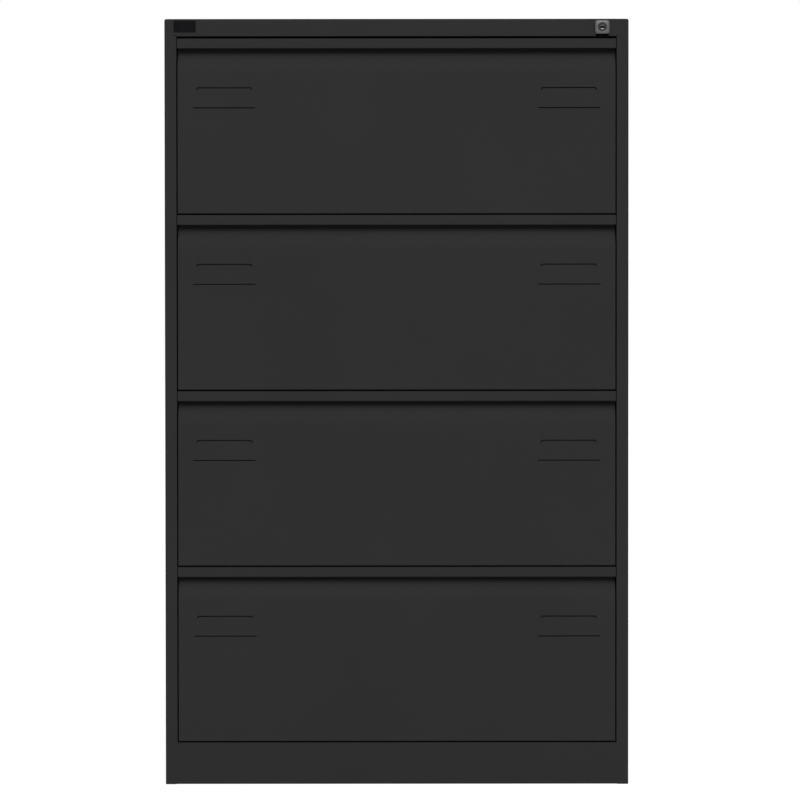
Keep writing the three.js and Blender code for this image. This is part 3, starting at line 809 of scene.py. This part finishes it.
def carcass_patches():
    """The skin of the carcass: front frame, sides, top, and the returns round the drawer opening."""
    across, up, back = frame_lines()
    lock_left, lock_right, jamb, half = across[2:]
    sill, head, lock_low, lock_high, top = up[1:]
    inner = [FRONT, FRONT + STILE_RETURN]

    def is_sheet(x, z):
        in_opening = abs(x) < jamb and sill < z < head
        in_lock_hole = lock_left < x < lock_right and lock_low < z < lock_high
        return not (in_opening or in_lock_hole)

    patches = SheetPatches()
    patches.add("front", across, up, lambda x, z: (x, FRONT, z), is_sheet)
    patches.add("top", across, [FRONT, back], lambda x, y: (x, y, top))
    for level in (sill, head):
        patches.add("return", across[1:-1], inner, lambda x, y: (x, y, level))
    patches.add("foot", across[1:-1], [FRONT, FRONT + PLINTH_FOOT], lambda x, y: (x, y, 0.0))
    for sign in SIDES.values():
        patches.add("side", [FRONT, back], up, lambda y, z: (sign * half, y, z))
        patches.add("return", inner, [sill, head], lambda y, z: (sign * jamb, y, z))
        patches.add("flange", [half - REAR_FLANGE, half], up[:3], lambda x, z: (sign * x, back, z))
    return patches


def seam_grooves(bm):
    """A short groove at each stile's inner edge, where the top rail is welded to it."""
    level = box_mm("top_panel")[0].z + SEAM_LIFT
    section = ((-CARCASS_SHEET, -SEAM_HEIGHT), (-CARCASS_SHEET, SEAM_HEIGHT), (CARCASS_SHEET, 0.0))
    for sign in SIDES.values():
        prism(bm, section, lambda y, z, x: (sign * x, FRONT + y, level + z), SEAM_START, SEAM_END)


def rail_notch(bm):
    """The notch in the top rail's lower edge, under the lock."""
    low, high = box_mm("lock_housing")
    foot = box_mm("top_panel")[0].z - CARCASS_SHEET
    top = low.z + NOTCH_LAP
    left, right = low.x + NOTCH_INSET, high.x - NOTCH_INSET
    section = ((left, foot), (right, foot), (right, top), (left, top))
    prism(bm, section, lambda x, z, y: (x, FRONT + y, z), -CARCASS_SHEET, NOTCH_DEPTH)


def rail_cutter():
    bm = bmesh.new()
    seam_grooves(bm)
    rail_notch(bm)
    return bm


def front_faces_out(mesh):
    """Whether the faces on the front plane point away from the cabinet."""
    front = [face for face in mesh.polygons if abs(face.center.y - FRONT * MM) < SAME_PLANE]
    return front[0].normal.y < 0


class CABINET_OT_carcass(bpy.types.Operator):
    """Fold the welded shell: sides, top rail, top and plinth"""

    bl_idname = "cabinet.carcass"
    bl_label = "Carcass shell"

    def execute(self, context):
        sizes = context.scene.cabinet_sizes
        patches = carcass_patches()
        bmesh.ops.recalc_face_normals(patches.bm, faces=patches.bm.faces)
        opening, others = patches.folds()
        round_edges(patches.bm, others, sizes.fold_radius / MM, FOLD_STEPS)
        round_edges(patches.bm, opening, sizes.opening_radius / MM, FOLD_STEPS)
        shell = mesh_object("carcass_shell", patches.bm)
        wall = shell.modifiers.new("sheet", "SOLIDIFY")
        wall.thickness = CARCASS_SHEET * MM
        wall.offset = -1.0 if front_faces_out(shell.data) else 1.0
        wall.use_even_offset = True
        perforate(shell, rail_cutter(), PAINT)
        stand_for(shell, PAINT, "top_panel", "left_side_panel", "right_side_panel", "plinth_panel")
        return {"FINISHED"}


def upright_sheet(node, sizes):
    """A channel with a row of hook slots down its web, painted as the back panel is."""
    low, high = box_mm(node)
    sign = 1 if low.x > 0 else -1
    web, wall = sorted((low.x, high.x), key=abs)
    web += sign * UPRIGHT_SHEET / 2
    front, back = low.y + UPRIGHT_SHEET / 2, high.y - UPRIGHT_SHEET / 2
    corners = [(wall, front), (web, front), (web, back), (wall, back)]
    bm = bmesh.new()
    folded(bm, corners, UPRIGHT_SHEET, lambda x, y, z: (x, y, z), low.z, high.z)
    piece = mesh_object(f"{node}_channel", bm)
    pitch = sizes.slot_pitch / MM
    count = int((high.z - low.z) / pitch) - 1
    start = (web, (low.y + high.y) / 2, low.z + pitch)
    slot_row(piece, PAINT, UPRIGHT_SLOT, UPRIGHT_SHEET, start, (0, 0, pitch), count)
    soften(piece)
    attach(piece, PAINT, "back_panel")
    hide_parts(node)


class CABINET_OT_inner_frame(bpy.types.Operator):
    """Dress the back, the base and the slotted uprights"""

    bl_idname = "cabinet.inner_frame"
    bl_label = "Inner frame"

    def execute(self, context):
        sizes = context.scene.cabinet_sizes
        for node in ("back_panel", "base_panel"):
            dressed_copy(node, PAINT, sizes.edge_softness)
        for position in ("front", "rear"):
            for side in SIDES:
                upright_sheet(f"{position}_upright_{side}", sizes)
        return {"FINISHED"}


# Drawers


def panel_corners(height):
    """The panel's section in y and z: lower return, panel, scoop, and the wall up to the lip's weld."""
    middle = DRAWER_SHEET / 2
    lean = 2 * math.asin(math.sqrt((FRONT_WALL - middle) / (2 * (SCOOP_RADIUS + SCOOP_TOP_RADIUS))))
    tangent = math.tan(lean / 2)
    scoop_low = height - LIP_HEIGHT - SCOOP_RUN + SCOOP_RADIUS * tangent
    scoop_high = scoop_low + (SCOOP_RADIUS + SCOOP_TOP_RADIUS) * tangent * math.cos(lean)
    return [
        (FRONT_DEPTH, middle),
        (middle, middle),
        (middle, scoop_low, SCOOP_RADIUS),
        (FRONT_WALL, scoop_high, SCOOP_TOP_RADIUS),
        (FRONT_WALL, height - LIP_HEIGHT / 2),
    ]


def lip_corners(height):
    """The lip's section in y and z: up the wall from the weld, forward over the top, down to the hem."""
    middle = DRAWER_SHEET / 2
    lip_low = height - LIP_HEIGHT + middle
    return [
        (FRONT_WALL, height - LIP_HEIGHT / 2 + FIT / 4),
        (FRONT_WALL, height - middle),
        (middle, height - middle),
        (middle, lip_low, HEM_BEND),
        (middle + HEM_DEPTH, lip_low, HEM_BEND),
        (middle + HEM_DEPTH, lip_low + HEM_HEIGHT),
    ]


def end_plate_outline(panel, height):
    """The plate that closes the hollow behind the panel at its ends."""
    top = height - END_PLATE_DROP
    line = bent_line([*panel[:-1], (FRONT_WALL, top)])
    inside = DRAWER_SHEET / 2 + FIT / 4
    return [*(point - normal * inside for point, normal in line), Vector((FRONT_DEPTH, top))]


def label_cutter(slit):
    """The two slits of a label place, below the middle of the front's top edge."""
    half = LABEL_TOP_WIDTH / 2
    top = (-LABEL_TOP_DROP, LABEL_HOOK_BEND)
    hook = -LABEL_TOP_DROP - LABEL_HOOK
    upper = [(-half, hook), (-half, *top), (half, *top), (half, hook)]

    def place(x, z, y):
        return x, y, z

    bm = bmesh.new()
    folded(bm, upper, slit, place, -DRAWER_SHEET, 2 * DRAWER_SHEET)
    foot = [(x, z - LABEL_FOOT_DROP) for x, z in oval(LABEL_FOOT_WIDTH, slit, SMALL_ARC_STEPS)]
    prism(bm, foot, place, -DRAWER_SHEET, 2 * DRAWER_SHEET)
    return bm


def round_cut_edges(bm, radius):
    """Rounds the sharp edges of a sheet, and leaves its bends as they are."""
    bmesh.ops.recalc_face_normals(bm, faces=bm.faces)
    edges = [edge for edge in bm.edges if edge.calc_face_angle() > SHARP_ANGLE]
    round_edges(bm, edges, radius, EDGE_STEPS)


def front_sheet(low, high, softness):
    """The panel, the lip and the end plates of the drawer front in this box."""
    height = high.z - low.z
    left, right = low.x + LIP_OVERHANG, high.x - LIP_OVERHANG
    panel = panel_corners(height)

    def place(y, z, x):
        return x, low.y + y, low.z + z

    bm = bmesh.new()
    folded(bm, panel, DRAWER_SHEET, place, left, right)
    folded(bm, lip_corners(height), DRAWER_SHEET, place, low.x, high.x)
    round_cut_edges(bm, softness)
    plate = end_plate_outline(panel, height)
    prism(bm, plate, place, left, left + DRAWER_SHEET)
    prism(bm, plate, place, right - DRAWER_SHEET, right)
    return bm


def drawer_front(drawer, sizes):
    """The scooped front of one drawer, with its lip and label slits."""
    node = f"drawer_{drawer}_front"
    low, high = box_mm(node)
    piece = mesh_object(f"{node}_sheet", front_sheet(low, high, sizes.edge_softness / MM))
    cutter = label_cutter(sizes.slit_height / MM)
    label = high.x - LIP_OVERHANG - LABEL_INSET
    perforate(piece, cutter, PAINT, (-label, low.y, high.z), (2 * label, 0, 0), len(SIDES))
    stand_for(piece, PAINT, node)


class CABINET_OT_drawer_fronts(bpy.types.Operator):
    """Fold the drawer fronts with their scoops, lips and label slits"""

    bl_idname = "cabinet.drawer_fronts"
    bl_label = "Drawer fronts"

    def execute(self, context):
        for drawer in DRAWERS:
            drawer_front(drawer, context.scene.cabinet_sizes)
        return {"FINISHED"}


class CABINET_OT_drawer_bodies(bpy.types.Operator):
    """Dress the trays, liners, backs and file rails"""

    bl_idname = "cabinet.drawer_bodies"
    bl_label = "Drawer bodies"

    def execute(self, context):
        softness = context.scene.cabinet_sizes.edge_softness
        for drawer in DRAWERS:
            for part in ("tray", "liner", "back", "centre_rail"):
                dressed_copy(f"drawer_{drawer}_{part}", PAINT, softness)
        return {"FINISHED"}


# Slides


def slide_face(drawer):
    """How far out the slides meet the uprights. Their sections are measured inwards from there."""
    return box_mm(f"drawer_{drawer}_slide_outer_right")[1].x


def slide_member(drawer, member, side):
    """One channel of a telescopic slide. The middle one has holes along its web."""
    node = f"drawer_{drawer}_slide_{member}_{side}"
    low, high = box_mm(node)
    sign = SIDES[side]
    face = slide_face(drawer)
    level = (low.z + high.z) / 2
    half = SLIDE_SECTIONS[member]
    corners = [*half, *((s, -v, *bend) for s, v, *bend in reversed(half))]

    def place(s, v, y):
        return sign * (face - s), y, level + v

    bm = bmesh.new()
    folded(bm, corners, SLIDE_STEEL, place, low.y, high.y)
    piece = mesh_object(f"{node}_channel", bm)
    if member == "mid":
        pitch = (high.y - low.y) / WEB_HOLE_COUNT
        start = (sign * (face - half[1][0]), low.y + pitch / 2, level)
        slot_row(piece, ZINC, WEB_HOLE, SLIDE_STEEL, start, (0, pitch, 0), WEB_HOLE_COUNT)
    stand_for(piece, ZINC, node)


def ball():
    """A small faceted ball."""
    around, up = BALL_SEGMENTS
    bm = bmesh.new()
    bmesh.ops.create_uvsphere(bm, u_segments=around, v_segments=up, radius=BALL_RADIUS)
    return mesh_object("ball_shape", bm)


def cage_strips(x, above, level, front, back):
    """The strips that hold the balls of a pair of runners, above and below the middle of each."""
    outline = oval(CAGE_WIDTH, CAGE_THICKNESS, SMALL_ARC_STEPS)
    bm = bmesh.new()
    for sign in SIDES.values():
        for row in (-above, above):
            prism(bm, outline, lambda a, b, y: (sign * x + a, y, level + row + b), front, back)
    return bm


def ball_rows(drawer, member, shape, pitch):
    """Balls and cages on a pair of runners, in the rear half, which never leaves the member round it."""
    node = f"drawer_{drawer}_slide_{member}_right"
    low, high = box_mm(node)
    inwards, above = BALL_ROWS[member]
    x = slide_face(drawer) - inwards
    level = (low.z + high.z) / 2
    front, back = (low.y + high.y) / 2 + CAGE_END, high.y - CAGE_END
    cage = mesh_object(f"drawer_{drawer}_cages_{member}", cage_strips(x, above, level, front, back))
    soften(cage)
    attach(cage, ZINC, node)
    balls = repeat(
        f"drawer_{drawer}_balls_{member}",
        shape,
        BALL_STEEL,
        start=(-x, front + CAGE_END, level - above),
        along=((0, pitch, 0), int((back - front - 2 * CAGE_END) / pitch)),
        up=((0, 0, 2 * above), 2),
    )
    attach(balls, BALL_STEEL, node)


class CABINET_OT_slides(bpy.types.Operator):
    """Build the telescopic slides with their ball cages"""

    bl_idname = "cabinet.slides"
    bl_label = "Slides"

    def execute(self, context):
        pitch = context.scene.cabinet_sizes.ball_pitch / MM
        shape = ball()
        for drawer in DRAWERS:
            for member in SLIDE_SECTIONS:
                for side in SIDES:
                    slide_member(drawer, member, side)
            for member in BALL_ROWS:
                ball_rows(drawer, member, shape, pitch)
        bpy.data.objects.remove(shape)
        return {"FINISHED"}


# Lock


def lock_plate(edge):
    """The housing: a rounded, slightly pillowed plate with a dish, and the barrel through the rail."""
    low, high = box_mm("lock_housing")
    centre = (low + high) / 2
    width, height = high.x - low.x, high.z - low.z
    plate_back = FRONT - FIT
    shoulder = low.y + PILLOW
    rings = [
        round_ring(LOCK_BORE, centre, high.y),
        round_ring(LOCK_BARREL, centre, high.y),
        round_ring(LOCK_BARREL, centre, plate_back),
        rounded_ring(width, height, LOCK_CORNER, centre, plate_back),
    ]
    for turn in EDGE_TURNS:
        inset = edge * (1 - math.cos(turn))
        face = (width - 2 * inset, height - 2 * inset, LOCK_CORNER - inset)
        rings.append(rounded_ring(*face, centre, shoulder + edge * (1 - math.sin(turn))))
    for out, depth in DISH_PROFILE:
        rings.append(round_ring(LOCK_BORE + DISH_FLARE + out, centre, low.y + depth))
    rings.append(round_ring(LOCK_BORE, centre, low.y + DISH_DEPTH))
    return lofted("lock_plate", rings, closed=True)


def key_core():
    """The turning core with its keyway."""
    low, high = box_mm("lock_core")
    centre = (low + high) / 2
    radius = (high.x - low.x) / 2
    width, height, depth = KEYWAY
    slot = (width, height, height / 2 - KEYWAY_EDGE)
    mouth = (width + 2 * KEYWAY_EDGE, height + 2 * KEYWAY_EDGE, height / 2)
    rings = [
        rounded_ring(*slot, centre, low.y + depth),
        rounded_ring(*slot, centre, low.y + KEYWAY_EDGE),
        rounded_ring(*mouth, centre, low.y),
        round_ring(radius - CORE_CHAMFER, centre, low.y),
        round_ring(radius, centre, low.y + CORE_CHAMFER),
        round_ring(radius, centre, high.y),
    ]
    return lofted("lock_key_core", rings)


class CABINET_OT_lock(bpy.types.Operator):
    """Build the lock: housing, core, nut, cam and bar"""

    bl_idname = "cabinet.lock"
    bl_label = "Lock"

    def execute(self, context):
        sizes = context.scene.cabinet_sizes
        stand_for(lock_plate(sizes.lock_edge / MM), "die_cast_metal", "lock_housing")
        stand_for(key_core(), "core_metal", "lock_core")
        for node, coat in (("lock_nut", ZINC), ("lock_cam", PAINT), ("lock_bar", PAINT)):
            dressed_copy(node, coat, sizes.edge_softness)
        return {"FINISHED"}


# Badge


def badge_rings(*steps):
    """The badge's outline at each of these steps: how far it is drawn in, and at which depth."""
    low, high = box_mm("badge_plate")
    rings = []
    for inset, y in steps:
        width, height = high.x - low.x - 2 * inset, high.z - low.z - 2 * inset
        rings.append(rounded_ring(width, height, BADGE_CORNER - inset / 2, (low + high) / 2, y))
    return rings


def badge_rim(front, back):
    """The thin rim, with a soft edge on each side of its face."""
    outer = ((0, back), (0, front + RIM_EDGE), (RIM_EDGE, front))
    inner = ((RIM_WIDTH - RIM_EDGE, front), (RIM_WIDTH, front + RIM_EDGE), (RIM_WIDTH, back))
    return lofted("badge_rim", badge_rings(*outer, *inner), closed=True)


def badge_face(front, back):
    """The bare plate, set a little back inside the rim."""
    inset = RIM_WIDTH + FIT / 2
    face = front + PLATE_RECESS
    steps = ((inset, back), (inset, face + RIM_EDGE), (inset + RIM_EDGE, face))
    return lofted("badge_face", badge_rings(*steps))


class CABINET_OT_badge(bpy.types.Operator):
    """Build the bare badge: a gloss plate in a thin rim"""

    bl_idname = "cabinet.badge"
    bl_label = "Badge"

    def execute(self, context):
        low, high = box_mm("badge_plate")
        rim = badge_rim(low.y, high.y)
        soften(rim)
        attach(rim, "badge_rim_metal", "badge_plate")
        stand_for(badge_face(low.y, high.y), "gloss_face", "badge_plate")
        return {"FINISHED"}


# Rivets


def rivet(radius, sheet, axis):
    """A rivet through two sheets, with a low dome at each end, lying along x or y."""
    end = sheet + RIVET_PROUD
    dome = [(radius * share, end - RIVET_ROUNDING * radius * share * share) for share in RIVET_DOME]
    outline = dome + [(r, -along) for r, along in reversed(dome)]
    turns = [2 * math.pi * k / RIVET_POINTS for k in range(RIVET_POINTS)]
    rings = [
        [axis(along, r * math.cos(turn), r * math.sin(turn)) for turn in turns] for r, along in outline
    ]
    return lofted("rivet_shape", rings)


def back_rivets(radius):
    """Painted rivets that hold the back panel to the side flanges."""
    low, high = box_mm("right_side_panel")
    x = high.x - REAR_FLANGE / 2
    y = (high.y - CARCASS_SHEET + box_mm("back_panel")[1].y) / 2
    step = (high.z - low.z) / BACK_RIVET_COUNT
    shape = rivet(radius, CARCASS_SHEET, lambda along, a, b: (a, along, b))
    start = (-x, y, low.z + step / 2)
    piece = repeat("back_rivets", shape, PAINT, start, along=((0, 0, step), BACK_RIVET_COUNT))
    attach(piece, PAINT, "back_panel")
    bpy.data.objects.remove(shape)


def tray_rivets(drawer, shape):
    """Rivets that hold a drawer's back between the tray walls, bright as the slides are."""
    wall = box_mm(f"drawer_{drawer}_tray")[1]
    low, high = box_mm(f"drawer_{drawer}_back")
    x = (wall.x - DRAWER_SHEET + high.x) / 2
    reach = high.z - low.z
    start = (-x, (low.y + high.y) / 2, low.z + reach * TRAY_RIVET_START)
    along = ((0, 0, reach * TRAY_RIVET_STEP), TRAY_RIVET_COUNT)
    piece = repeat(f"drawer_{drawer}_rivets", shape, ZINC, start, along)
    attach(piece, ZINC, f"drawer_{drawer}_slide_inner_left")


class CABINET_OT_rivets(bpy.types.Operator):
    """Set the rivets of the back panel and of the drawers"""

    bl_idname = "cabinet.rivets"
    bl_label = "Rivets"

    def execute(self, context):
        radius = context.scene.cabinet_sizes.rivet_radius / MM
        back_rivets(radius)
        shape = rivet(radius, DRAWER_SHEET, lambda along, a, b: (along, a, b))
        for drawer in DRAWERS:
            tray_rivets(drawer, shape)
        bpy.data.objects.remove(shape)
        return {"FINISHED"}


# Stage


def white_world(ambient):
    """White where it is seen, and a softer light on everything else."""
    world = bpy.data.worlds.new("studio")
    nodes = empty_tree(world)
    soft = nodes.make("ShaderNodeBackground", {"Color": WHITE, "Strength": ambient})
    white = nodes.make("ShaderNodeBackground", {"Color": WHITE, "Strength": 1.0})
    sky = nodes.make("ShaderNodeMixShader", {0: seen_rays(nodes), 1: soft, 2: white})
    nodes.make("ShaderNodeOutputWorld", {"Surface": sky})
    return world


def floor_plane():
    bm = bmesh.new()
    bmesh.ops.create_grid(bm, x_segments=1, y_segments=1, size=FLOOR_HALF)
    floor = mesh_object("floor", bm)
    floor.data.materials.append(finish("studio_floor"))


def soft_sun(name, strength, spread, elevation=0.0, turn=0.0, shines=True):
    """A soft, far light, turned round from the front. Unless it shines, it leaves no highlight."""
    lamp = bpy.data.lights.new(name, "SUN")
    lamp.energy = strength
    lamp.angle = spread
    holder = bpy.data.objects.new(name, lamp)
    holder.rotation_euler = (math.pi / 2 - elevation, 0.0, turn)
    holder.visible_glossy = shines
    bpy.context.scene.collection.objects.link(holder)


def studio_camera(studio):
    """A long lens square to the front, as in the photograph."""
    lens = bpy.data.cameras.new("camera")
    lens.lens = studio.lens
    camera = bpy.data.objects.new("camera", lens)
    front = FRONT * MM
    camera.location = (studio.aside, front - studio.distance, studio.height)
    aim = Vector((studio.aside, front, studio.aim_height))
    camera.rotation_euler = (aim - camera.location).to_track_quat("-Z", "Y").to_euler()
    camera.rotation_euler.rotate_axis("Z", studio.roll)
    bpy.context.scene.collection.objects.link(camera)
    bpy.context.scene.camera = camera


class CABINET_OT_stage(bpy.types.Operator):
    """Set the white floor, the soft lights and the camera"""

    bl_idname = "cabinet.stage"
    bl_label = "Stage"

    def execute(self, context):
        studio = context.scene.cabinet_studio
        context.scene.view_settings.view_transform = "Standard"
        context.scene.world = white_world(studio.ambient)
        floor_plane()
        soft_sun("key", studio.key_strength, studio.key_spread, studio.key_elevation)
        soft_sun("fill", studio.fill_strength, studio.fill_spread, shines=False)
        for side, sign in SIDES.items():
            turn = sign * studio.rear_turn
            soft_sun(f"rear_{side}", studio.rear_strength, studio.fill_spread, turn=turn, shines=False)
        studio_camera(studio)
        return {"FINISHED"}


# Add-on


STEPS = (
    CABINET_OT_stage,
    CABINET_OT_carcass,
    CABINET_OT_inner_frame,
    CABINET_OT_drawer_fronts,
    CABINET_OT_drawer_bodies,
    CABINET_OT_slides,
    CABINET_OT_lock,
    CABINET_OT_badge,
    CABINET_OT_rivets,
)


class CABINET_PT_dressing(bpy.types.Panel):
    """The cabinet's settings and the steps that dress it."""

    bl_idname = "CABINET_PT_dressing"
    bl_label = "Filing cabinet"
    bl_space_type = "VIEW_3D"
    bl_region_type = "UI"
    bl_category = "Cabinet"

    def draw(self, context):
        for step in STEPS:
            self.layout.operator(step.bl_idname)
        for name, settings in GROUPS.items():
            column = self.layout.column()
            for setting in settings.__annotations__:
                column.prop(getattr(context.scene, name), setting)


GROUPS = {
    "cabinet_sizes": CabinetSizes,
    "cabinet_finishes": CabinetFinishes,
    "cabinet_studio": StudioSettings,
}


def register():
    for cls in (*GROUPS.values(), *STEPS, CABINET_PT_dressing):
        bpy.utils.register_class(cls)
    for name, group in GROUPS.items():
        setattr(bpy.types.Scene, name, PointerProperty(type=group))


def unregister():
    for name in GROUPS:
        delattr(bpy.types.Scene, name)
    for cls in (CABINET_PT_dressing, *reversed(STEPS), *reversed(GROUPS.values())):
        bpy.utils.unregister_class(cls)


def main():
    register()
    bpy.ops.cabinet.stage()
    bpy.ops.cabinet.carcass()
    bpy.ops.cabinet.inner_frame()
    bpy.ops.cabinet.drawer_fronts()
    bpy.ops.cabinet.drawer_bodies()
    bpy.ops.cabinet.slides()
    bpy.ops.cabinet.lock()
    bpy.ops.cabinet.badge()
    bpy.ops.cabinet.rivets()


if __name__ == "__main__":
    main()
